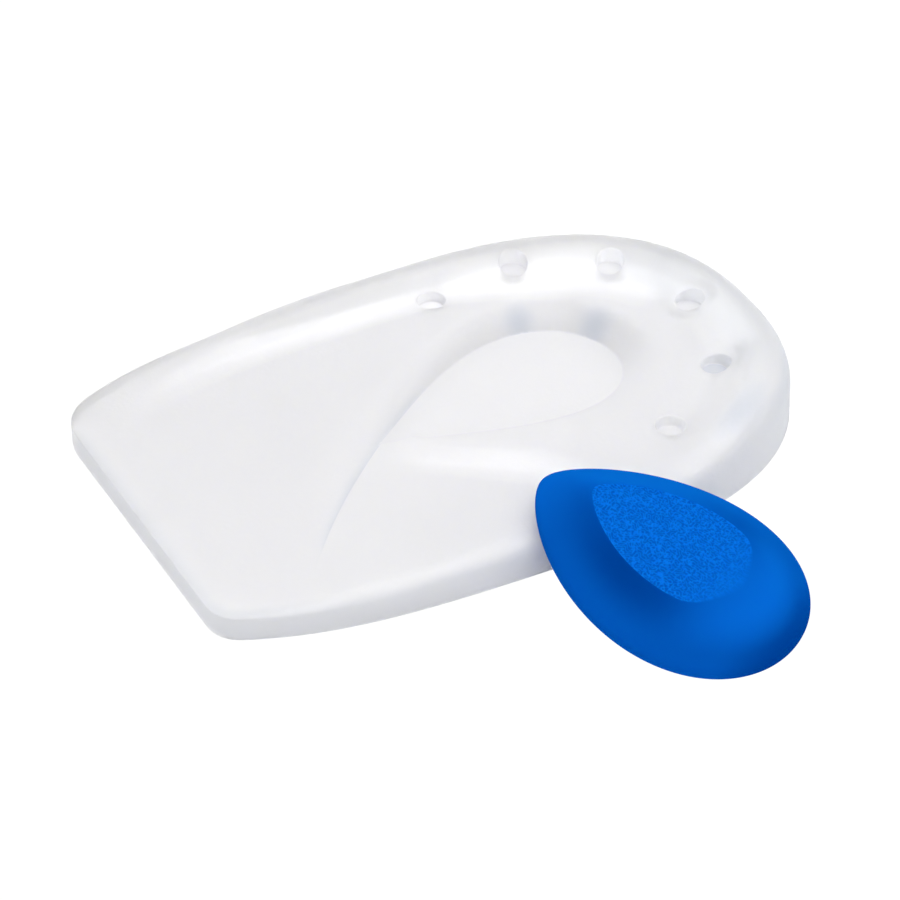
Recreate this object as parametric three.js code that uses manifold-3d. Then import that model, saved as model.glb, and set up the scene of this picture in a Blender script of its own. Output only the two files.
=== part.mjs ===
// Silicone heel insert: a moulded heel cushion with a comma-shaped seat, and the loose pad that fills the seat.
// Millimetres and degrees. X runs from the front edge to the rear of the heel, Y to the outer side of the foot,
// Z up. The origin is the middle of the cushion's flat sole.
import * as THREE from 'three';
import { mergeVertices } from 'three/addons/utils/BufferGeometryUtils.js';
import Module from 'manifold-3d';

const wasm = await Module();
wasm.setup();

// Cushion outline, seen from above
const LENGTH = 105;
const HEEL_HALF_WIDTH = 34.85;
const HEEL_DEPTH = 45.3; // from the widest place to the rear
const HEEL_ROUNDNESS = 2.38; // exponent of the heel's superellipse
const SIDE_TAPER_POWER = 4;
const OUTER_SIDE = { sign: 1, taper: 8.9, cornerCut: 3.5 };
const INNER_SIDE = { sign: -1, taper: 8.6, cornerCut: 5.6 };
const FRONT_SLANT = -0.084; // how far the front edge runs forward for each millimetre outward

// Cushion heights and edges
const FRONT_THICKNESS = 4.3;
const WEDGE_SLOPE = 0.044;
const WEDGE_CROSS_SLOPE = 0.3; // share of the wedge that rises towards the outer side
const WEDGE_START = -44;
const WEDGE_SOFTNESS = 6;
const RIM_LIP = 2.95; // how far the rim stands above the dish inside it
const OUTER_LIP = { start: -50, full: -5 };
const INNER_LIP = { start: 16, full: 44 };
const SIDE_BLEND = 48; // width over which the two sides' lips turn into each other
const RIM_CREST = 4.5; // distance of the rim's crest from the outline
const RIM_FOOT = 9.5; // distance of the rim's inner foot from the outline, along the sides
const RIM_FOOT_HEEL = 14; // the same behind the heel
const RIM_FOOT_GROWTH = 35;
// Roll of the top edge: its width as a share of the height, its greatest width, its depth as a share of its
// width, and the exponent of its superellipse
const EDGE_ROUND = { share: 0.94, limit: 7.2, deep: 0.85, power: 2.5 };
const EDGE_LIMIT_POWER = 4; // how sharply the roll's width levels off at its limit
const FRONT_EDGE_RADIUS = 0.35;
const EDGE_SOFTENING = { start: 0.5, length: 28 }; // behind the front edge, where the top edge becomes round
const WALL_LEAN = 0.03;
const SOLE_EDGE_RADIUS = 0.8;

// Seat for the pad: a teardrop floor with a bowed middle line, and a tail along an arc
const SEAT_PLACE = { x: -14.2, y: -2, heading: 7.4 }; // of the floor's tip
const SEAT = { length: 43.3, halfWidth: 11.1, tip: 1.18, end: 0.51, bow: 1.2 };
const SEAT_FLOOR = 3.9;
const SEAT_WALL = 5.5; // width of the steep wall on the outer side
const SEAT_WALL_GENTLE = 9.5; // width of the gentle wall on the inner side
const SEAT_WALL_TURN = { start: -0.15, span: 0.9 }; // how the wall's direction turns it from steep to gentle
const SEAT_CORE = { start: 15, end: 31 }; // stretch of the middle line that the wall faces away from
const SEAT_TIP_FADE = 8; // distance over which the seat's tip runs out into the tail
const TAIL = { centreX: 65.4, centreY: -94.2, radius: 121.5, endX: -35, endY: -25.6 };
const TAIL_LENGTH = 32;
const TAIL_DEPTH = 2;
const TAIL_WALL = 5;
const TAIL_GROWTH_POWER = 1.2;
const TAIL_FADE = 28; // distance over which the tail's low side rises again
const TAIL_FADE_SHARE = 0.78;
const SHOULDER = { x: 0.65, y: 0.76, start: -13.7, width: 5 }; // soft step up to the heel, inner side
const SHOULDER_JOIN = 10;
const TAIL_END_AT_SEAT = { rise: 13, span: 12 };
const DEPTH_BLEND = 6;

// Blind holes on the inner slope of the rim
const HOLE_DIAMETER = 4.5;
const HOLE_DEPTH = 1.8;
const HOLE_CUT_ABOVE = 4;
const HOLE_SIDES = 20;
const HOLES = [
  { x: 7.5, y: 24.6 },
  { x: 22.6, y: 25.4 },
  { x: 36.5, y: 18.3 },
  { x: 42.7, y: 3.6 },
  { x: 38.5, y: -11.4 },
  { x: 25.2, y: -20.6 },
];

// Pad: a teardrop with a large face, a bevel and a smaller face
const ROUND_TIP = 0.5; // exponent of a teardrop tip that is fully round
const PAD = { length: 43, halfWidth: 16.6, tip: 0.74, end: 0.5, blunt: 0.05 };
const PAD_FACE = { length: 28.4, halfWidth: 9.05, tip: 0.74, end: 0.5, blunt: 0.03 };
const PAD_FACE_START = 7.6;
const PAD_THICKNESS = 5.75;
const PAD_CROWN = 0.25; // how far the small face is domed
const PAD_PLACE = { x: 0.54, y: -26.1, heading: -63.7, tilt: 12 };
// Sections of the pad from the large face to the small one: share of the way in, and height
const PAD_SECTIONS = [
  { inward: 0.11, height: 0 },
  { inward: 0.03, height: 0.35 },
  { inward: 0, height: 1 },
  { inward: 0.05, height: 1.75 },
  { inward: 0.45, height: 3.7 },
  { inward: 0.86, height: 5.3 },
  { inward: 1, height: PAD_THICKNESS },
];

// Fineness of the meshes
const OUTLINE_STEPS = { heel: 26, side: 20, corner: 4, front: 18 };
const SEAT_SIDES = 120;
const SEAT_MIDDLE = 0.66; // share of the seat's length where its widest place is
const SEAT_BISECTIONS = 24;
const FLOOR_RING = 0.5;
const WELD = 1e-4;
const WALL_RINGS = [0.15, 0.4, 0.7, 1];
const WALL_SPAN = 0.45; // most of the way to the rim that the wall's rings may take
const DISH_RINGS = 8;
const EDGE_ANGLES = [90, 66, 44, 22, 0];
const SOLE_ANGLES = [0, 45, 90];
const PAD_SIDES = 72;
const PAD_MIDDLE = 0.58; // share of the pad's length where its widest place is
const PAD_FACE_RINGS = [0.33, 0.66];

const CUSHION_COLOUR = 0xecedf2;
const PAD_COLOUR = 0x0a5fd2;

const REAR = LENGTH / 2;
const FRONT = -LENGTH / 2;
const HEEL_CENTRE = REAR - HEEL_DEPTH;
const radians = THREE.MathUtils.degToRad;
const smooth = (t) => THREE.MathUtils.smoothstep(t, 0, 1);
const smoother = (t) => THREE.MathUtils.smootherstep(t, 0, 1);
const clamp01 = (t) => THREE.MathUtils.clamp(t, 0, 1);
const softMinimum = (a, b, power) => (a ** -power + b ** -power) ** (-1 / power);

// Outline of the cushion

function heelQuarter(sign, steps) {
  const points = [];
  for (let i = 0; i <= steps; i += 1) {
    const angle = (i / steps) * (Math.PI / 2);
    const x = HEEL_CENTRE + HEEL_DEPTH * Math.cos(angle) ** (2 / HEEL_ROUNDNESS);
    const y = HEEL_HALF_WIDTH * Math.sin(angle) ** (2 / HEEL_ROUNDNESS);
    points.push(new THREE.Vector2(x, sign * y));
  }
  return points;
}

// One side from the heel to the front edge, with a rounded corner whose sides touch both lines.
function sideWithCorner(side, steps, cornerSteps) {
  const span = HEEL_CENTRE - FRONT;
  const last = 1 - side.cornerCut / span;
  const points = [];
  for (let i = 1; i <= steps; i += 1) {
    const share = (i / steps) * last;
    const halfWidth = HEEL_HALF_WIDTH - side.taper * share ** SIDE_TAPER_POWER;
    points.push(new THREE.Vector2(HEEL_CENTRE - span * share, side.sign * halfWidth));
  }
  const start = points[points.length - 1];
  const narrowing = side.sign * side.taper * SIDE_TAPER_POWER * last ** (SIDE_TAPER_POWER - 1);
  const along = new THREE.Vector2(-span, -narrowing);
  const reach = (FRONT + FRONT_SLANT * start.y - start.x) / (along.x - FRONT_SLANT * along.y);
  const corner = start.clone().addScaledVector(along, reach);
  const frontLine = new THREE.Vector2(FRONT_SLANT, 1).normalize().multiplyScalar(-side.sign);
  const end = corner.clone().addScaledVector(frontLine, corner.distanceTo(start));
  const rounding = new THREE.QuadraticBezierCurve(start, corner, end);
  return points.concat(rounding.getPoints(cornerSteps).slice(1));
}

// Counter-clockwise from the rear of the heel, outer side first.
function cushionOutline(steps) {
  const outer = sideWithCorner(OUTER_SIDE, steps.side, steps.corner);
  const inner = sideWithCorner(INNER_SIDE, steps.side, steps.corner);
  const front = new THREE.LineCurve(outer[outer.length - 1], inner[inner.length - 1]);
  return [
    ...heelQuarter(1, steps.heel),
    ...outer,
    ...front.getPoints(steps.front).slice(1, -1),
    ...inner.reverse(),
    ...heelQuarter(-1, steps.heel).reverse().slice(0, -1),
  ];
}

function inwardNormals(polygon) {
  const count = polygon.length;
  return polygon.map((_, i) => {
    const along = polygon[(i + 1) % count].clone().sub(polygon[(i + count - 1) % count]);
    return new THREE.Vector2(-along.y, along.x).normalize();
  });
}

function distanceTo(polygon, x, y) {
  const distances = polygon.map((a, index) => {
    const b = polygon[(index + 1) % polygon.length];
    const share = clamp01(((x - a.x) * (b.x - a.x) + (y - a.y) * (b.y - a.y)) / a.distanceToSquared(b));
    return Math.hypot(x - a.x - share * (b.x - a.x), y - a.y - share * (b.y - a.y));
  });
  return Math.min(...distances);
}

// Teardrops

const bowAt = (drop, share) => (drop.bow ?? 0) * 4 * share * (1 - share);

function teardropHalfWidth(drop, share) {
  const widest = drop.tip / (drop.tip + drop.end);
  const shape = (t) => t ** drop.tip * (1 - t) ** drop.end * blunting(drop, t);
  return (drop.halfWidth * shape(share)) / shape(widest);
}

// Widens a teardrop's tip to a small round.
function blunting(drop, share) {
  if (!drop.blunt || share === 0) return 1;
  return (1 + drop.blunt / share) ** (drop.tip - ROUND_TIP);
}

// Counter-clockwise from the tip, which lies at the local origin.
function teardropOutline(drop, sides) {
  const points = [];
  for (let i = 0; i < sides; i += 1) {
    const turn = (i / sides) * 2 * Math.PI;
    const share = (1 - Math.cos(turn)) / 2;
    const side = turn < Math.PI ? -1 : 1;
    const across = bowAt(drop, share) + side * teardropHalfWidth(drop, share);
    points.push(new THREE.Vector2(drop.length * share, across));
  }
  return points;
}

const ORIGIN = new THREE.Vector2();
const SEAT_TURN = radians(SEAT_PLACE.heading);
const SEAT_TIP = new THREE.Vector2(SEAT_PLACE.x, SEAT_PLACE.y);
const inSeatPlace = (p) => p.rotateAround(ORIGIN, SEAT_TURN).add(SEAT_TIP);
const SEAT_OUTLINE = teardropOutline(SEAT, SEAT_SIDES).map(inSeatPlace);
const inSeatAxes = (x, y) => new THREE.Vector2(x, y).sub(SEAT_TIP).rotateAround(ORIGIN, -SEAT_TURN);

function insideSeat(x, y) {
  const local = inSeatAxes(x, y);
  const share = local.x / SEAT.length;
  if (share <= 0 || share >= 1) return false;
  return Math.abs(local.y - bowAt(SEAT, share)) < teardropHalfWidth(SEAT, share);
}

// Top surface of the cushion

function wedgeHeight(x, y) {
  const run = (x + WEDGE_CROSS_SLOPE * y - WEDGE_START) / WEDGE_SOFTNESS;
  return FRONT_THICKNESS + WEDGE_SLOPE * WEDGE_SOFTNESS * Math.log1p(Math.exp(run));
}

function lipHeight(x, y, fromOutline) {
  const outer = smooth((x - OUTER_LIP.start) / (OUTER_LIP.full - OUTER_LIP.start));
  const inner = smooth((x - INNER_LIP.start) / (INNER_LIP.full - INNER_LIP.start));
  const side = smooth(0.5 + y / SIDE_BLEND);
  const foot = THREE.MathUtils.lerp(RIM_FOOT, RIM_FOOT_HEEL, smooth(x / RIM_FOOT_GROWTH));
  const slope = 1 - smoother((fromOutline - RIM_CREST) / (foot - RIM_CREST));
  return RIM_LIP * THREE.MathUtils.lerp(inner, outer, side) * slope;
}

// The tail is a shallow valley: a steep wall outside its arc, a slow rise inside it, none at its end.
function tailDepth(x, y) {
  const beyondArc = Math.hypot(x - TAIL.centreX, y - TAIL.centreY) - TAIL.radius;
  const angleHere = Math.atan2(y - TAIL.centreY, x - TAIL.centreX);
  const angleEnd = Math.atan2(TAIL.endY - TAIL.centreY, TAIL.endX - TAIL.centreX);
  const fromEnd = (angleEnd - angleHere) * TAIL.radius;
  const rise = SHOULDER.x * x + SHOULDER.y * y;
  const growth = clamp01(fromEnd / TAIL_LENGTH) ** TAIL_GROWTH_POWER;
  const depth = TAIL_DEPTH * growth * smooth((TAIL_END_AT_SEAT.rise - rise) / TAIL_END_AT_SEAT.span);
  if (beyondArc > 0) return depth * clamp01(1 - beyondArc / TAIL_WALL) ** 2;
  const shoulder = smooth((rise - SHOULDER.start) / SHOULDER.width) * smooth(-beyondArc / SHOULDER_JOIN);
  return depth * (1 - TAIL_FADE_SHARE * smooth(-beyondArc / TAIL_FADE)) * (1 - shoulder);
}

// The seat has a flat floor, a steep outer wall, a gentle inner wall, and a tip that runs out into the tail.
function seatDepth(x, y, full) {
  const local = inSeatAxes(x, y);
  const deep = full * smooth(local.x / SEAT_TIP_FADE);
  if (insideSeat(x, y)) return deep;
  const core = new THREE.Vector2(THREE.MathUtils.clamp(local.x, SEAT_CORE.start, SEAT_CORE.end), SEAT.bow);
  const away = local.sub(core).rotateAround(ORIGIN, SEAT_TURN).normalize();
  const facesInner = smooth((-away.y - SEAT_WALL_TURN.start) / SEAT_WALL_TURN.span);
  const wall = THREE.MathUtils.lerp(SEAT_WALL, SEAT_WALL_GENTLE, facesInner);
  return deep * clamp01(1 - distanceTo(SEAT_OUTLINE, x, y) / wall) ** 2;
}

const RIM_POINTS = cushionOutline(OUTLINE_STEPS);
const RIM_NORMALS = inwardNormals(RIM_POINTS);

function bodyHeight(x, y) {
  return wedgeHeight(x, y) + lipHeight(x, y, distanceTo(RIM_POINTS, x, y));
}

// The top before its edge is rolled over.
function topHeight(x, y) {
  const body = bodyHeight(x, y);
  const full = Math.max(body - SEAT_FLOOR, 0);
  const depth = (tailDepth(x, y) ** DEPTH_BLEND + seatDepth(x, y, full) ** DEPTH_BLEND) ** (1 / DEPTH_BLEND);
  return body - Math.min(depth, full);
}

// Meshes from closed rings

// Joins rings of equal count, from the middle of the top over the edge to the middle of the underside.
function ringGeometry(topMiddle, rings, bottomMiddle) {
  const count = rings[0].length;
  const positions = [topMiddle, ...rings.flat(), bottomMiddle].flatMap((p) => [p.x, p.y, p.z]);
  const at = (ring, i) => 1 + ring * count + (i % count);
  const bottom = 1 + rings.length * count;
  const index = [];
  for (let i = 0; i < count; i += 1) {
    index.push(0, at(0, i), at(0, i + 1));
    for (let ring = 0; ring + 1 < rings.length; ring += 1) {
      index.push(at(ring, i), at(ring + 1, i), at(ring + 1, i + 1));
      index.push(at(ring, i), at(ring + 1, i + 1), at(ring, i + 1));
    }
    index.push(bottom, at(rings.length - 1, i + 1), at(rings.length - 1, i));
  }
  const geometry = new THREE.BufferGeometry();
  geometry.setAttribute('position', new THREE.Float32BufferAttribute(positions, 3));
  geometry.setIndex(index);
  return geometry;
}

function solidOf(geometry) {
  const plain = geometry.clone();
  plain.deleteAttribute('normal');
  plain.deleteAttribute('uv');
  const merged = mergeVertices(plain, WELD);
  const vertProperties = new Float32Array(merged.attributes.position.array);
  const triVerts = new Uint32Array(merged.index.array);
  return new wasm.Manifold(new wasm.Mesh({ numProp: 3, vertProperties, triVerts }));
}

function cutAway(geometry, cutters) {
  const solid = cutters.reduce((rest, cutter) => rest.subtract(solidOf(cutter)), solidOf(geometry));
  const mesh = solid.getMesh();
  const result = new THREE.BufferGeometry();
  result.setAttribute('position', new THREE.Float32BufferAttribute(mesh.vertProperties, 3));
  result.setIndex([...mesh.triVerts]);
  return result;
}

// Heel cushion

// How wide the rolled edge is at one point of the outline, and where its crest lies.
function rimCrest(point, inward) {
  const probe = point.clone().addScaledVector(inward, RIM_CREST);
  const height = bodyHeight(probe.x, probe.y);
  const full = softMinimum(EDGE_ROUND.share * height, EDGE_ROUND.limit, EDGE_LIMIT_POWER);
  const roundness = smooth((point.x - FRONT - EDGE_SOFTENING.start) / EDGE_SOFTENING.length);
  const wide = THREE.MathUtils.lerp(FRONT_EDGE_RADIUS, full, roundness);
  const lean = WALL_LEAN * height;
  return { crest: point.clone().addScaledVector(inward, lean + wide), wide, lean };
}

// The place where the line from the seat's middle to a point crosses the edge of the seat's floor.
function seatCrossing(middle, point) {
  let inside = 0;
  let outside = 1;
  for (let step = 0; step < SEAT_BISECTIONS; step += 1) {
    const half = (inside + outside) / 2;
    const place = middle.clone().lerp(point, half);
    if (insideSeat(place.x, place.y)) inside = half;
    else outside = half;
  }
  return middle.clone().lerp(point, inside);
}

// Distances from the floor's edge to the rings of the wall and of the dish, on a line of the given span.
function ringDistances(span) {
  const wall = Math.min(SEAT_WALL, WALL_SPAN * span);
  const onWall = WALL_RINGS.map((share) => share * wall);
  const dishStep = (span - wall) / (DISH_RINGS + 1);
  const onDish = Array.from({ length: DISH_RINGS }, (_, i) => wall + (i + 1) * dishStep);
  return [...onWall, ...onDish];
}

function cushionRings() {
  const middle = inSeatPlace(new THREE.Vector2(SEAT.length * SEAT_MIDDLE, SEAT.bow));
  const crests = RIM_POINTS.map((point, i) => rimCrest(point, RIM_NORMALS[i]));
  const floorEdge = crests.map(({ crest }) => seatCrossing(middle, crest));
  const onTop = (p) => new THREE.Vector3(p.x, p.y, topHeight(p.x, p.y));
  const ringCount = WALL_RINGS.length + DISH_RINGS;
  const topRings = Array.from({ length: ringCount }, (_, ring) => floorEdge.map((p, i) => {
    const span = p.distanceTo(crests[i].crest);
    return onTop(p.clone().lerp(crests[i].crest, ringDistances(span)[ring] / span));
  }));
  const innerFloor = floorEdge.map((p) => onTop(middle.clone().lerp(p, FLOOR_RING)));
  const rings = [innerFloor, floorEdge.map(onTop), ...topRings, ...edgeRings(crests)];
  return { middle: onTop(middle), rings };
}

// From the rim's crest over the rolled edge, down the wall and under to the sole.
function edgeRings(crests) {
  const bend = 2 / EDGE_ROUND.power;
  const inset = (i, distance) => RIM_POINTS[i].clone().addScaledVector(RIM_NORMALS[i], distance);
  const rings = EDGE_ANGLES.map((degrees) => crests.map(({ wide, lean }, i) => {
    const outward = Math.abs(Math.cos(radians(degrees))) ** bend;
    const place = inset(i, lean + wide * (1 - outward));
    const drop = EDGE_ROUND.deep * wide * (1 - Math.sin(radians(degrees)) ** bend);
    return new THREE.Vector3(place.x, place.y, topHeight(place.x, place.y) - drop);
  }));
  for (const degrees of SOLE_ANGLES) {
    const z = SOLE_EDGE_RADIUS * (1 - Math.sin(radians(degrees)));
    const under = SOLE_EDGE_RADIUS * (1 - Math.cos(radians(degrees)));
    rings.push(crests.map((_, i) => {
      const place = inset(i, under);
      return new THREE.Vector3(place.x, place.y, z);
    }));
  }
  return rings;
}

function holeCutter({ x, y }) {
  const radius = HOLE_DIAMETER / 2;
  const height = HOLE_DEPTH + HOLE_CUT_ABOVE;
  const cutter = new THREE.CylinderGeometry(radius, radius, height, HOLE_SIDES);
  cutter.rotateX(Math.PI / 2);
  cutter.translate(x, y, topHeight(x, y) - HOLE_DEPTH + height / 2);
  return cutter;
}

function heelCushion() {
  const { middle, rings } = cushionRings();
  const whole = ringGeometry(middle, rings, new THREE.Vector3(0, 0, 0));
  const material = new THREE.MeshStandardMaterial({ color: CUSHION_COLOUR, roughness: 0.4, metalness: 0 });
  const mesh = new THREE.Mesh(cutAway(whole, HOLES.map(holeCutter)), material);
  mesh.name = 'heel_cushion';
  return mesh;
}

// Pad, with its large face on the local XY plane and its tip at the local origin

function spurPad() {
  const large = teardropOutline(PAD, PAD_SIDES);
  const small = teardropOutline(PAD_FACE, PAD_SIDES).map((p) => p.add(new THREE.Vector2(PAD_FACE_START, 0)));
  const faceMiddle = new THREE.Vector2(PAD_FACE_START + PAD_FACE.length * PAD_MIDDLE, 0);
  const largeMiddle = new THREE.Vector3(PAD.length * PAD_MIDDLE, 0, 0);
  const rings = PAD_SECTIONS.map(({ inward, height }) => large.map((p, i) => {
    const place = p.clone().lerp(small[i], inward);
    return new THREE.Vector3(place.x, place.y, height);
  })).reverse();
  const faceRings = PAD_FACE_RINGS.map((share) => small.map((p) => {
    const place = faceMiddle.clone().lerp(p, share);
    return new THREE.Vector3(place.x, place.y, PAD_THICKNESS + PAD_CROWN * (1 - share * share));
  }));
  const top = new THREE.Vector3(faceMiddle.x, faceMiddle.y, PAD_THICKNESS + PAD_CROWN);
  const material = new THREE.MeshStandardMaterial({ color: PAD_COLOUR, roughness: 0.45, metalness: 0 });
  const mesh = new THREE.Mesh(ringGeometry(top, [...faceRings, ...rings], largeMiddle), material);
  mesh.name = 'spur_pad';
  return mesh;
}

// The pad leans: its round end stands on the table and its narrow end lies on the cushion's rim.
function leaningPad() {
  const lean = new THREE.Group();
  lean.rotation.y = radians(PAD_PLACE.tilt);
  lean.add(spurPad());
  const roundEnd = PAD.length - PAD_SECTIONS[0].inward * (PAD.length - PAD_FACE_START - PAD_FACE.length);
  const turned = new THREE.Group();
  turned.rotation.z = radians(PAD_PLACE.heading);
  turned.position.set(PAD_PLACE.x, PAD_PLACE.y, roundEnd * Math.sin(radians(PAD_PLACE.tilt)));
  turned.add(lean);
  return turned;
}

const insert = new THREE.Group();
insert.add(heelCushion(), leaningPad());

export default insert;
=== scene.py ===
"""Looks of the silicone heel insert: a milky heel cushion with its loose blue pad, on a white table.

Shapes are worked out in millimetres in the frame's own axes: X from the front edge to the rear of the heel,
Y to the outer side of the foot, Z up from the sole. Meshes are written in metres.
"""
import math

import bpy
import numpy as np
from mathutils import Euler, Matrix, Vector, noise
from mathutils.geometry import delaunay_2d_cdt


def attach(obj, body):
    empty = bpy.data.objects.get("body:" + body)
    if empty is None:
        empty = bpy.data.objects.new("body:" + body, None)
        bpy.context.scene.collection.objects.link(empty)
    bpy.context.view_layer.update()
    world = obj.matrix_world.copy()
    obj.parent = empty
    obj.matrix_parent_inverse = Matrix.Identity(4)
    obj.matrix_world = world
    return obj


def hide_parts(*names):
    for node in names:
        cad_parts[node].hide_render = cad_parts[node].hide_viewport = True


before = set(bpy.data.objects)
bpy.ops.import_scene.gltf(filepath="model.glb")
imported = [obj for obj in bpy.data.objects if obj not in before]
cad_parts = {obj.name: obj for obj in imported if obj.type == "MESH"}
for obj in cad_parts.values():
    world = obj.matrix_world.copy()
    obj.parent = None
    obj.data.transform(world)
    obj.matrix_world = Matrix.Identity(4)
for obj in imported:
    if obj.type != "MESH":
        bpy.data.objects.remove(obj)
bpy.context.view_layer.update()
MM = 0.001
TINY = 1e-9

# Cushion outline, seen from above
LENGTH = 105.0
HEEL_HALF_WIDTH = 34.85
HEEL_DEPTH = 45.3
HEEL_ROUNDNESS = 2.38
SIDE_TAPER_POWER = 4
OUTER_SIDE = {"sign": 1, "taper": 8.9, "corner_cut": 3.5}
INNER_SIDE = {"sign": -1, "taper": 8.6, "corner_cut": 5.6}
FRONT_SLANT = -0.084
FRONT = -LENGTH / 2
HEEL_CENTRE = LENGTH / 2 - HEEL_DEPTH

# Cushion heights and edges
FRONT_THICKNESS = 4.3
WEDGE = {"slope": 0.044, "cross": 0.3, "start": -44.0, "softness": 6.0}
RIM_LIP = 2.95
OUTER_LIP = {"start": -50.0, "full": -5.0}
INNER_LIP = {"start": 16.0, "full": 44.0}
SIDE_BLEND = 48.0
RIM_CREST = 4.5
RIM_FOOT = {"sides": 9.5, "heel": 14.0, "growth": 35.0}
EDGE_ROUND = {"share": 0.94, "limit": 7.2, "blend": 4, "deep": 0.85, "power": 2.5}
FRONT_EDGE_RADIUS = 0.35
EDGE_SEAM = 0.8
EDGE_SOFTENING = {"start": 0.5, "length": 28.0}
WALL_LEAN = 0.03
SOLE_EDGE_RADIUS = 0.8

# Seat for the pad, and its tail
SEAT_PLACE = {"x": -14.2, "y": -2.0, "heading": 7.4}
SEAT = {"length": 43.3, "half_width": 11.1, "tip": 1.18, "end": 0.51, "bow": 1.2}
SEAT_FLOOR = 3.9
SEAT_WALL = 5.5
SEAT_WALL_GENTLE = 9.5
SEAT_WALL_TURN = {"start": -0.15, "span": 0.9}
CREASE_FILLET = 0.07
SEAT_CORE = {"start": 15.0, "end": 31.0}
SEAT_TIP_FADE = 8.0
TAIL = {"x": 65.4, "y": -94.2, "radius": 121.5, "end_x": -35.0, "end_y": -25.6}
TAIL_LENGTH = 32.0
TAIL_DEPTH = 2.0
TAIL_WALL = 5.0
TAIL_GROWTH_POWER = 1.2
TAIL_FADE = 28.0
TAIL_FADE_SHARE = 0.78
SHOULDER = {"x": 0.65, "y": 0.76, "start": -13.7, "width": 5.0}
SHOULDER_JOIN = 10.0
TAIL_END_AT_SEAT = {"rise": 13.0, "span": 12.0}
DEPTH_BLEND = 6

# Blind holes; the ground round them is levelled most up to one distance and not at all from another
HOLE_RADIUS = 2.25
HOLE_DEPTH = 1.8
HOLE_EDGE = 0.22
HOLE_COLLAR = 0.1
HOLES = [(7.5, 24.6), (22.6, 25.4), (36.5, 18.3), (42.7, 3.6), (38.5, -11.4), (25.2, -20.6)]
HOLE_LEVEL = {"full": 2.5, "none": 4.4}

# Pad
PAD = {"length": 43.0, "half_width": 16.6, "tip": 0.74, "end": 0.5, "blunt": 0.05}
PAD_FACE = {"length": 28.4, "half_width": 9.05, "tip": 0.74, "end": 0.5, "blunt": 0.03}
PAD_FACE_START = 7.6
PAD_THICKNESS = 5.75
PAD_CROWN = 0.25
PAD_FOOT = {"inward": 0.11, "height": 1.0}
PAD_BEVEL = {"inward": 0.1, "height": 2.0, "bend": 1.5, "bulge": 0.35}
PAD_ROLL = {"start": 0.72, "span": 0.28, "edge": (0.06, 0.4), "face": (0.03, 0.3)}
PAD_PLACE = {"x": 0.54, "y": -26.1, "heading": -63.7, "tilt": 12.0}
PAD_MIDDLE = 0.58

# Wormy grain on the pad's small face
GRAIN_SIZE = 0.46
GRAIN_RIDGE = 0.18
GRAIN_HEIGHT = 0.12
GRAIN_FADE = {"start": 26.0, "end": 36.5, "edge": 0.03}

# Silicone; the shaded milky colour is painted shade, and a tone runs from a shaded blue to a lit blue
SILICONE_IOR = 1.41
MILKY = (0.965, 0.96, 0.985, 1)
MILKY_SHADED = (0.7, 0.74, 0.795, 1)
CLEARNESS = 0.5
BLUE_SHADED = (0.0, 0.046, 0.27, 1)
BLUE_LIT = (0.002, 0.15, 0.68, 1)
# Small face: grain colour, its ridges lighter as painted highlight; bevel: painted light and shade
FACE_TONE = {"valley": 0.46, "ridge": 1.0, "plain": 0.72}
BEVEL_PAINTED_TONE = {"far": 0.6, "near": 0.38, "end": 0.75}

# Start and span of the steps between the bevel's tones, as shares of the pad's length and of its thickness
BEVEL_ALONG = {"tip": (0.0, 0.2), "near": (0.1, 0.7), "far": (0.3, 0.5), "roll": (0.6, 0.3),
               "end": (0.85, 0.15)}
BEVEL_UP = {"near": (0.4, 0.5), "roll": (0.45, 0.45)}
BEVEL_SIDE_BLEND = 8.0

# Painted light, given as emission: how strongly the parts of the cushion glow, and where each glow lies
PAINTED_GLOW = {"floor": 0.035, "side_rim": 0.16, "heel_rim": 0.22, "inner_rim": 0.03, "rear": 0.16,
        "front_foot": 0.08, "near_wall": 0.065, "shoulder": 0.095, "valley": 0.02}
GLOW_EDGE = 0.4
HUMP_POWER = 1.5
RIM_GLOW = {"start": 5.5, "sides": 12.5, "heel": 17.5}
HEEL_RIM = {"start": 5.0, "full": 25.0}
REAR_GLOW = {"facing": 0.9, "turn": 0.08, "loss": 0.85, "start": 4.0, "width": 9.0}
SHOULDER_GLOW = {"start": -16.7, "width": 9.0, "join": 20.0, "front": -18.0, "front_fade": 12.0,
                 "rear": 12.0, "rear_fade": 10.0}
VALLEY_GLOW = {"width": 14.0, "growth": 8.0, "rise": 4.0}
FRONT_GLOW = {"facing": 0.7, "turn": 0.25, "full": 0.9, "none": 1.5}

# How each hole looks: how level the ground round it is, the painted light and the painted shade of its wall
# and of its floor, and how much of the rim's painted light it takes away in front
HOLE_LOOKS = [
    {"level": 1.0, "wall_glow": 0.05, "wall_dark": 0.0, "floor_glow": 0.19, "floor_dark": 0.0, "front": 0.0},
    {"level": 0.2, "wall_glow": 0.05, "wall_dark": 0.0, "floor_glow": 0.04, "floor_dark": 0.0, "front": 1.0},
    {"level": 0.2, "wall_glow": 0.1, "wall_dark": 0.0, "floor_glow": 0.08, "floor_dark": 0.0, "front": 1.0},
    {"level": 0.5, "wall_glow": 0.11, "wall_dark": 0.0, "floor_glow": 0.02, "floor_dark": 0.0, "front": 0.9},
    {"level": 0.3, "wall_glow": 0.08, "wall_dark": 0.25, "floor_glow": 0.0, "floor_dark": 0.6, "front": 0.0},
    {"level": 1.0, "wall_glow": 0.1, "wall_dark": 0.0, "floor_glow": 0.06, "floor_dark": 0.0, "front": 0.0},
]
HOLE_FRONT = {"x": -0.9, "y": -1.8, "radius": 2.6, "soft": 1.2}

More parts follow.
